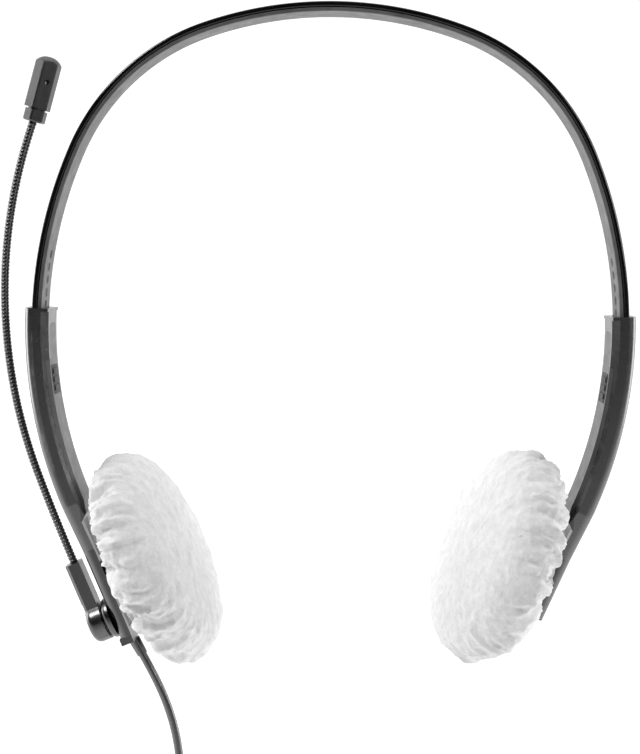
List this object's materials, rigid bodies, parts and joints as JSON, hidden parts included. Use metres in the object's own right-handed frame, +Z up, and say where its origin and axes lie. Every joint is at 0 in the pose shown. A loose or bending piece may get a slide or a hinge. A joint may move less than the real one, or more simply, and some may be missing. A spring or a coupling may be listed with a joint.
{
  "type": "headset microphone",
  "caption": "Light stereo headset with a slim black band, white cloth-covered ear pads and a gooseneck boom microphone.",
  "frame": {"origin": "middle of the headband's underside, where it rests on the top of the head", "axes": "+Z up as worn, +X towards the ear cup without the boom, -Y towards the front of the wearer"},
  "size_m": [0.1919, 0.0663, 0.327],
  "materials": {
    "band_gloss": "glossy black",
    "band_matt": "matt dark grey",
    "spring_steel": "spring temper",
    "arm_plastic": "fine spark texture, black",
    "cover_plastic": "fine texture, black",
    "tab_rubber": "soft, black",
    "screw_steel": "zinc",
    "housing_plastic": "matt black",
    "pin_steel": "polished",
    "basket_plastic": "matt",
    "magnet_metal": "nickel plate",
    "diaphragm_film": "thin film",
    "foam": "open-cell foam",
    "cover_cloth": "crinkled non-woven, white",
    "boom_plastic": "satin black",
    "gooseneck": "ribbed, black",
    "mic_plastic": "satin black",
    "capsule_metal": "plain",
    "felt": "felt",
    "cable_jacket": "satin black",
    "plug_metal": "gold plated"
  },
  "bodies": {
    "headband": {"band_crown_shell": "band_gloss", "band_crown_liner": "band_matt", "band_crown_spring": "spring_steel"},
    "left_band": {"left_band_shell": "band_gloss", "left_band_liner": "band_matt", "left_band_spring": "spring_steel"},
    "left_arm": {"left_arm_casing": "arm_plastic", "left_arm_cover": "cover_plastic", "left_detent_spring": "spring_steel", "left_arm_screws": "screw_steel", "left_side_tab": "tab_rubber", "left_cup_post": "housing_plastic", "boom_base": "boom_plastic", "boom_pivot": "pin_steel", "boom_washer": "spring_steel", "left_foot_cap": "housing_plastic", "strain_relief": "cable_jacket", "cable": "cable_jacket", "cable_coil": "cable_jacket", "cable_tie": "cable_jacket", "cable_tail": "cable_jacket", "plug_body": "boom_plastic", "plug_pin": "plug_metal"},
    "left_swivel": {"left_cup_knuckle": "housing_plastic", "left_cup_pin": "pin_steel"},
    "left_cup": {"left_cup_housing": "housing_plastic", "left_driver_basket": "basket_plastic", "left_driver_magnet": "magnet_metal", "left_driver_diaphragm": "diaphragm_film", "left_driver_grille": "housing_plastic", "left_cushion": "foam", "left_cushion_cover": "cover_cloth"},
    "right_band": {"right_band_shell": "band_gloss", "right_band_liner": "band_matt", "right_band_spring": "spring_steel"},
    "right_arm": {"right_arm_casing": "arm_plastic", "right_arm_cover": "cover_plastic", "right_detent_spring": "spring_steel", "right_arm_screws": "screw_steel", "right_side_tab": "tab_rubber", "right_cup_post": "housing_plastic"},
    "right_swivel": {"right_cup_knuckle": "housing_plastic", "right_cup_pin": "pin_steel"},
    "right_cup": {"right_cup_housing": "housing_plastic", "right_driver_basket": "basket_plastic", "right_driver_magnet": "magnet_metal", "right_driver_diaphragm": "diaphragm_film", "right_driver_grille": "housing_plastic", "right_cushion": "foam", "right_cushion_cover": "cover_cloth"},
    "boom": {"boom_knuckle": "boom_plastic", "gooseneck_lower": "gooseneck"},
    "boom_middle": {"gooseneck_middle": "gooseneck"},
    "boom_tip": {"gooseneck_upper": "gooseneck", "mic_collar": "mic_plastic", "mic_housing": "mic_plastic", "mic_capsule": "capsule_metal", "mic_felt": "felt"}
  },
  "joints": [
    {"name": "left_flex", "type": "hinge", "parent": "headband", "child": "left_band", "pos_m": [-0.06153, 0, -0.01907], "axis": [0, 1, 0], "range_deg": [-4, 9], "stiffness_Nm_per_rad": 1.6},
    {"name": "left_size", "type": "hinge", "parent": "left_band", "child": "left_arm", "pos_m": [0.04675, 0, -0.09485], "axis": [0, -1, 0], "range_deg": [-8.27, 6.6]},
    {"name": "left_cup_tilt", "type": "hinge", "parent": "left_arm", "child": "left_swivel", "pos_m": [-0.0598, 0, -0.16698], "axis": [0, -1, 0], "range_deg": [-8, 2]},
    {"name": "left_cup_swivel", "type": "hinge", "parent": "left_swivel", "child": "left_cup", "pos_m": [-0.0598, 0, -0.16698], "axis": [-0.4226, 0, 0.9063], "range_deg": [-10, 10]},
    {"name": "right_flex", "type": "hinge", "parent": "headband", "child": "right_band", "pos_m": [0.06153, 0, -0.01907], "axis": [0, -1, 0], "range_deg": [-4, 9], "stiffness_Nm_per_rad": 1.6},
    {"name": "right_size", "type": "hinge", "parent": "right_band", "child": "right_arm", "pos_m": [-0.04675, 0, -0.09485], "axis": [0, 1, 0], "range_deg": [-8.27, 6.6]},
    {"name": "right_cup_tilt", "type": "hinge", "parent": "right_arm", "child": "right_swivel", "pos_m": [0.0598, 0, -0.16698], "axis": [0, 1, 0], "range_deg": [-4, 6]},
    {"name": "right_cup_swivel", "type": "hinge", "parent": "right_swivel", "child": "right_cup", "pos_m": [0.0598, 0, -0.16698], "axis": [-0.3584, 0, -0.9336], "range_deg": [-2, 18]},
    {"name": "boom_swing", "type": "hinge", "parent": "left_arm", "child": "boom", "pos_m": [-0.06236, 0, -0.18279], "axis": [0.9184, 0, 0.3955], "range_deg": [-10, 150]},
    {"name": "gooseneck_bend_lower", "type": "hinge", "parent": "boom", "child": "boom_middle", "pos_m": [-0.09374, 0, -0.12497], "axis": [0.9664, 0, 0.2572], "range_deg": [-30, 30]},
    {"name": "gooseneck_bend_upper", "type": "hinge", "parent": "boom_middle", "child": "boom_tip", "pos_m": [-0.09902, 0, -0.08342], "axis": [0, -1, 0], "range_deg": [-8, 35]}
  ]
}
